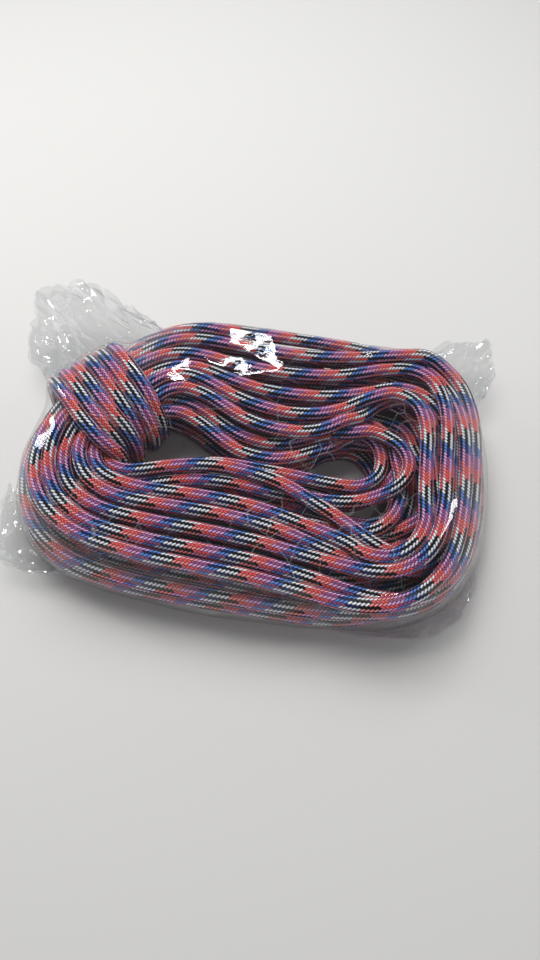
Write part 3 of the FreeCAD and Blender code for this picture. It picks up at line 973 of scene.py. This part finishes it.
def rope_heights(line):
    """The height of the rope's upper surface in each cell of the grid, or 0 where there is none."""
    heights = np.zeros(GRID_CELLS)
    radius = ROPE_RADIUS * MM + FILM_STAND_OFF
    cells = np.round((line[:, :2] - GRID_LOW) / GRID_STEP).astype(int)
    for shift_x in range(-CELLS_ACROSS, CELLS_ACROSS + 1):
        for shift_y in range(-CELLS_ACROSS, CELLS_ACROSS + 1):
            spots = cells + [shift_x, shift_y]
            away = GRID_LOW + spots * GRID_STEP - line[:, :2]
            rise = radius ** 2 - (away ** 2).sum(axis=1)
            top = np.where(rise > 0, line[:, 2] + np.sqrt(np.maximum(rise, 0.0)), 0.0)
            np.maximum.at(heights, (spots[:, 0], spots[:, 1]), top)
    return heights


def stretched_skin(held_up):
    """A tight skin over those heights, fixed at a low edge outside the outline."""
    xs = GRID_LOW[0] + np.arange(GRID_CELLS[0]) * GRID_STEP - BAG_CENTRE[0]
    ys = GRID_LOW[1] + np.arange(GRID_CELLS[1]) * GRID_STEP - BAG_CENTRE[1]
    x, y = np.meshgrid(xs, ys, indexing="ij")
    edge = reach_of_outline(np.arctan2(y, x).ravel()).reshape(x.shape)
    outside = np.hypot(x, y) > edge + ROPE_RADIUS * MM
    skin = np.maximum(held_up, SKIN_EDGE_HEIGHT)
    for _ in range(SKIN_ROUNDS):
        middle = (np.roll(skin, 1, 0) + np.roll(skin, -1, 0)
                  + np.roll(skin, 1, 1) + np.roll(skin, -1, 1)) / 4
        skin = np.where(outside, SKIN_EDGE_HEIGHT, np.maximum(held_up, middle))
    for _ in range(SMOOTH_ROUNDS):
        skin = (skin + np.roll(skin, 1, 0) + np.roll(skin, -1, 0)
                + np.roll(skin, 1, 1) + np.roll(skin, -1, 1)) / 5
    return skin + SMOOTH_LIFT


def sample_grid(grid, places):
    """Values of the grid at plan places, smoothly between its cells."""
    spots = (places - GRID_LOW) / GRID_STEP
    low = np.clip(np.floor(spots).astype(int), 0, np.array(GRID_CELLS) - 2)
    share = np.clip(spots - low, 0.0, 1.0)
    i, j = low[..., 0], low[..., 1]
    a, b = share[..., 0], share[..., 1]
    return (grid[i, j] * (1 - a) * (1 - b) + grid[i + 1, j] * a * (1 - b)
            + grid[i, j + 1] * (1 - a) * b + grid[i + 1, j + 1] * a * b)


skin = stretched_skin(rope_heights(rope_line))
print(f"the film lies up to {skin.max() / MM:.1f} mm high")

# %% [markdown]
# ## Crumples
# Thin clear film creases in flat facets with sharp edges between them. A sum of triangle waves
# in many directions makes just that, and because it is worked out from each point's place, the
# creases run on across every edge of the mesh.

# %% A crumple from triangle waves
WAVE_SHARES = (0.6, 1.4)


def crumple(places, seed, longest, shortest, steepness, waves):
    """Crumple heights at places, all above zero, with creases of several lengths."""
    draw = np.random.RandomState(seed)
    total = np.zeros(places.shape[:-1])
    for share in np.linspace(0, 1, waves):
        length = longest * (shortest / longest) ** share
        direction = draw.normal(size=3)
        direction /= np.linalg.norm(direction)
        phase = places @ direction / length + draw.uniform(0, 2)
        total += np.abs(phase % 2 - 1) * length * steepness * draw.uniform(*WAVE_SHARES)
    return total


def ray_mesh(name, places):
    """A mesh over rays of points, all the way round, with one face over its middle."""
    rows, columns = places.shape[:2]
    row, column = np.meshgrid(np.arange(rows), np.arange(columns - 1), indexing="ij")
    row, column = row.ravel(), column.ravel()
    next_row = (row + 1) % rows
    faces = np.stack([row * columns + column, row * columns + column + 1,
                      next_row * columns + column + 1, next_row * columns + column], axis=1)
    middle = [row * columns for row in range(rows)]
    points = places.reshape(-1, 3).tolist()
    return new_object(name, points, faces.tolist() + [middle], smooth=True)


print(f"a wave is {WAVE_SHARES[0]} to {WAVE_SHARES[1]} times as steep as asked for")

# %% The upper web
FILM_RAYS = 360
TOP_STEPS = 84
SIDE_STEPS = 22
RIM_STEPS = 4
RIM_WIDTH = 3.0 * MM
RIM_HEIGHT = 0.3 * MM
TUCK = 5.0 * MM
TUCK_POWER = 3
# The web starts this far out from its middle, which one face closes, as a share of its reach.
MIDDLE_SHARE = 0.02
# The crumple turns from upwards to sideways in so many steps, from a few before the wall on.
TURN_STEPS = 10
STEPS_BEFORE_WALL = 6
# Seed, longest and shortest wave, steepness and number of waves.
WEB_CRUMPLE = (11, 60 * MM, 8 * MM, 0.016, 8)
# It nearly stops on the last steps, which lie on the table.
CALM_STEPS = RIM_STEPS + 3
CALM_SHARE = 0.1


def upper_web_places():
    """Points of the upper web: out along rays over the top, down the side, and tucked under."""
    directions, reach = rays(all_round(FILM_RAYS), FILM_STAND_OFF)
    reach = reach[:, None]
    top = on_rays(directions, reach * np.linspace(MIDDLE_SHARE, 1.0, TOP_STEPS)[None])
    top_heights = sample_grid(skin, top)
    down = np.linspace(0, 1, SIDE_STEPS + 1)[1:]
    under = np.linspace(0, 1, RIM_STEPS + 1)[1:]
    inward = np.concatenate([TUCK * down ** TUCK_POWER, TUCK + under * RIM_WIDTH])
    down = np.concatenate([down, np.ones(RIM_STEPS)])
    side = on_rays(directions, reach - inward[None])
    side_heights = top_heights[:, -1:] * (1 - down) + RIM_HEIGHT * down
    plan = np.concatenate([top, side], axis=1)
    heights = np.concatenate([top_heights, side_heights], axis=1)
    return np.concatenate([plan, heights[..., None]], axis=2)


def outward_of_bag(places):
    """Up on the bag's roof and sideways on its walls, with a smooth turn between them."""
    sideways = places[..., :2] - BAG_CENTRE
    sideways = sideways / np.maximum(np.linalg.norm(sideways, axis=-1), LEAST_DISTANCE)[..., None]
    steps = np.arange(1, places.shape[1] + 1) + STEPS_BEFORE_WALL - TOP_STEPS
    lean = np.clip(steps / TURN_STEPS, 0.0, 1.0)
    directions = np.zeros_like(places)
    directions[..., :2] = sideways * lean[None, :, None]
    directions[..., 2] = 1 - lean[None]
    return directions


web_places = upper_web_places()
crease_shares = np.ones(TOP_STEPS + SIDE_STEPS + RIM_STEPS)
crease_shares[-CALM_STEPS:] = CALM_SHARE
creases = crumple(web_places, *WEB_CRUMPLE) * crease_shares[None]
web_places = web_places + outward_of_bag(web_places) * creases[..., None]
upper_web = ray_mesh("film_upper_side", web_places)
print("faces in the upper web:", len(upper_web.data.polygons))

# %% The under side
UNDER_STEPS = 40
UNDER_HEIGHT = 0.15 * MM


def under_side_places():
    """A flat web under the hank, out to the rim."""
    directions, reach = rays(all_round(FILM_RAYS), -TUCK)
    shares = np.linspace(MIDDLE_SHARE, 1.0, UNDER_STEPS)
    plan = on_rays(directions, reach[:, None] * shares[None])
    flat = np.full(plan.shape[:2] + (1,), UNDER_HEIGHT)
    return np.concatenate([plan, flat], axis=2)


lower_web = ray_mesh("film_under_side", under_side_places()[::-1])
print("faces in the lower web:", len(lower_web.data.polygons))

# %% [markdown]
# ## The four ears
# Where the bag is wider than the hank, its corners stand out as crumpled ears of two plies. Each
# is a fan between a stretch of the outline and a ragged tip, pleated and crumpled.

# %% Make the ears
EAR_ACROSS = 30
EAR_OUT = 11
EAR_JITTER = 0.3
# The jitter grows from nothing at the outline to its full size in one part of so many.
JITTER_PARTS = 3
EAR_ROOT_HEIGHT = 4.0 * MM
EAR_LEAST_HEIGHT = 0.4 * MM
PLEAT_POWER = 0.7
# Longest and shortest wave, steepness and number of waves.
EAR_CRUMPLE = (26 * MM, 7 * MM, 0.17, 5)
EAR_FIRST_SEED = 20


def ear_places(root_angles, tip, pleats, depth, seed):
    """Points of one ply of an ear, from the outline out to its ragged tip."""
    draw = np.random.RandomState(seed)
    shares = np.linspace(0, 1, EAR_ACROSS)
    angles = np.radians(np.linspace(root_angles[0], root_angles[1], EAR_ACROSS))
    directions, reach = rays(angles, 0.0)
    root = BAG_CENTRE + directions * reach[:, None]
    root = np.concatenate([root, np.full((EAR_ACROSS, 1), EAR_ROOT_HEIGHT)], axis=1)
    edge = even_line(np.array(tip, dtype=float), count=EAR_ACROSS) * MM
    out = np.linspace(0, 1, EAR_OUT)[None, :, None]
    places = root[:, None] * (1 - out) + edge[:, None] * out
    cell = np.linalg.norm(edge - root, axis=1).mean() / EAR_OUT
    jitter = draw.uniform(-1, 1, places.shape) * cell * EAR_JITTER
    places += jitter * np.minimum(out * JITTER_PARTS, 1.0)
    pleat = np.abs((shares * pleats + draw.uniform(0, 2)) % 2 - 1) * depth
    places[..., 2] += pleat[:, None] * out[..., 0] ** PLEAT_POWER
    places[..., 2] += crumple(places, seed, *EAR_CRUMPLE)
    places[..., 2] = np.maximum(places[..., 2], EAR_LEAST_HEIGHT)
    return places


def facet_mesh(name, places):
    """A mesh of flat three-sided facets over a grid of points."""
    rows, columns = places.shape[:2]
    faces = []
    for row in range(rows - 1):
        for column in range(columns - 1):
            here, right = row * columns + column, (row + 1) * columns + column
            if (row + column) % 2:
                faces += [(here, right, right + 1), (here, right + 1, here + 1)]
            else:
                faces += [(here, right, here + 1), (right, right + 1, here + 1)]
    return new_object(name, places.reshape(-1, 3).tolist(), faces)


# The ends of each ear's root in degrees round the bag, its tip's line in mm, its pleats and how
# deep they are in mm.
EARS = {
    "film_ear_left_rear": ((165, 122), (
        (-143, 46, 6), (-147, 62, 15), (-146, 76, 14), (-147, 89, 24), (-134, 99, 20),
        (-115, 97, 26), (-101, 98, 16), (-84, 90, 12)), 5, 6.0),
    "film_ear_right_rear": ((24, 45), (
        (139, 62, 4), (144, 74, 12), (143, 85, 9), (138, 96, 17), (124, 98, 11),
        (109, 92, 10)), 4, 5.0),
    "film_ear_left_front": ((198, 226), (
        (-130, -38, 3), (-128, -52, 6), (-125, -72, 5), (-121, -86, 8), (-104, -90, 5),
        (-88, -84, 3)), 5, 5.0),
    "film_ear_right_front": ((-62, -18), (
        (46, -92, 2), (62, -97, 4), (78, -98, 5), (94, -98, 8), (110, -94, 6),
        (124, -84, 9), (132, -66, 6), (132, -52, 4)), 6, 5.0),
}

ears = []
for index, (name, (root_angles, tip, pleats, depth)) in enumerate(EARS.items()):
    for ply in range(2):
        seed = EAR_FIRST_SEED + 2 * index + ply
        places = ear_places(root_angles, tip, pleats + ply, depth * MM, seed)
        ears.append(facet_mesh(f"{name}_ply_{ply + 1}", places))
print(len(ears), "ear plies")

# %% [markdown]
# ## Clear film
# Film this thin bends no light. It lets nearly all of it through, mirrors a little, more where
# it is seen from the side, and is a trace milky. So the material mixes see-through, mirror and
# white, and Layer Weight says how much mirror there is. Creases have turned white along thin
# lines, here and there; these white lines are partly real whitening and partly painted glints.
# The ears are crumpled harder, so theirs is a livelier mix.

# %% Mix the film
FILM_MIRROR_LEAST = 0.05
EAR_MIRROR_LEAST = 0.14
FILM_MIRROR_MOST = 0.8
MIRROR_POWER = 3.0
FILM_ROUGHNESS = 0.04
FILM_CLEAR = (0.975, 0.98, 0.985, 1.0)
FILM_MILK = 0.004
MILK_COLOUR = (0.85, 0.88, 0.9, 1.0)
# The fine relief: small facets with a noise over them.
FACET_SCALE = 170.0
FACET_HEIGHT = 0.12
RIPPLE_SCALE = 90.0
RIPPLE_DETAIL = 3.0
FILM_RELIEF = 0.6 * MM
FILM_CRINKLE = 0.06
EAR_CRINKLE = 0.5
# The white creases (part real whitening, part painted glints): a net of lines, bent by a noise,
# in the patches of another noise.
CREASE_WHITE_AND_GLINT = 0.16
CREASE_WIDTH = 0.018
CREASE_SCALE = 62.0
CREASE_BEND = (0.02, 0.02, 0.02)
CREASE_BEND_SCALE = 35.0
PATCH_SCALE = 21.0
PATCH_FROM = 0.48
PATCH_SHARPNESS = 8.0


def white_creases_and_painted_glints(tree, do, place):
    """The milkiness of the film: a trace everywhere, and more along creases, in patches, part real
    whitening and part painted glints.
    """
    bend = node(tree, "TexNoise", {"Vector": place, "Scale": CREASE_BEND_SCALE})
    spot = node(tree, "VectorMath", {
        0: bend.outputs["Color"], 1: CREASE_BEND, 2: place}, operation="MULTIPLY_ADD")
    lines = node(tree, "TexVoronoi", {
        "Vector": spot.outputs[0], "Scale": CREASE_SCALE}, feature="DISTANCE_TO_EDGE")
    patch = node(tree, "TexNoise", {"Vector": place, "Scale": PATCH_SCALE})
    from_line = do("DIVIDE", lines.outputs["Distance"], CREASE_WIDTH)
    line = do("MAXIMUM", do("SUBTRACT", 1.0, from_line), 0.0)
    where = do("MULTIPLY", do("SUBTRACT", patch.outputs["Fac"], PATCH_FROM), PATCH_SHARPNESS)
    where = do("MINIMUM", do("MAXIMUM", where, 0.0), 1.0)
    # Painted highlight in part: the white along the creases also stands in for glints that the
    # lamps don't give.
    white = do("MULTIPLY", do("MULTIPLY", line, where), CREASE_WHITE_AND_GLINT)
    return do("ADD", white, FILM_MILK)


def film_material(name, mirror_least, crinkle):
    """Clear glossy film with fine creases."""
    material, tree = new_material(name)
    do = sums_in(tree)
    place = node(tree, "TexCoord").outputs["Object"]
    facets = node(tree, "TexVoronoi", {"Vector": place, "Scale": FACET_SCALE},
                  feature="DISTANCE_TO_EDGE")
    ripple = node(tree, "TexNoise", {
        "Vector": place, "Scale": RIPPLE_SCALE, "Detail": RIPPLE_DETAIL})
    facet_height = do("MINIMUM", facets.outputs["Distance"], FACET_HEIGHT)
    height = do("ADD", facet_height, ripple.outputs["Fac"])
    surface = relief(tree, height, crinkle, FILM_RELIEF)
    facing = node(tree, "LayerWeight", {"Normal": surface}).outputs["Facing"]
    mirror = do("ADD", do("MULTIPLY", do("POWER", facing, MIRROR_POWER), FILM_MIRROR_MOST),
                mirror_least)
    clear = node(tree, "BsdfTransparent", {"Color": FILM_CLEAR})
    gloss = node(tree, "BsdfGlossy", {"Roughness": FILM_ROUGHNESS, "Normal": surface})
    milk = node(tree, "BsdfDiffuse", {"Color": MILK_COLOUR})
    glossy = node(tree, "MixShader", {
        0: mirror, 1: clear.outputs[0], 2: gloss.outputs[0]})
    show(tree, node(tree, "MixShader", {
        0: white_creases_and_painted_glints(tree, do, place), 1: glossy.outputs[0], 2: milk.outputs[0]}))
    return material


clear_film = film_material("clear_film", FILM_MIRROR_LEAST, FILM_CRINKLE)
crumpled_film = film_material("crumpled_film", EAR_MIRROR_LEAST, EAR_CRINKLE)
for piece in [upper_web, lower_web] + ears:
    dress(piece, crumpled_film if piece in ears else clear_film)
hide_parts("film_upper_web")
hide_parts("film_lower_web")
print("film on", 2 + len(ears), "pieces")

# %% Say what the film was cut to
for piece in [upper_web, lower_web] + ears:
    area = sum(face.area for face in piece.data.polygons)
    print(piece.name, f"{area * 1e4:.0f} cm2")
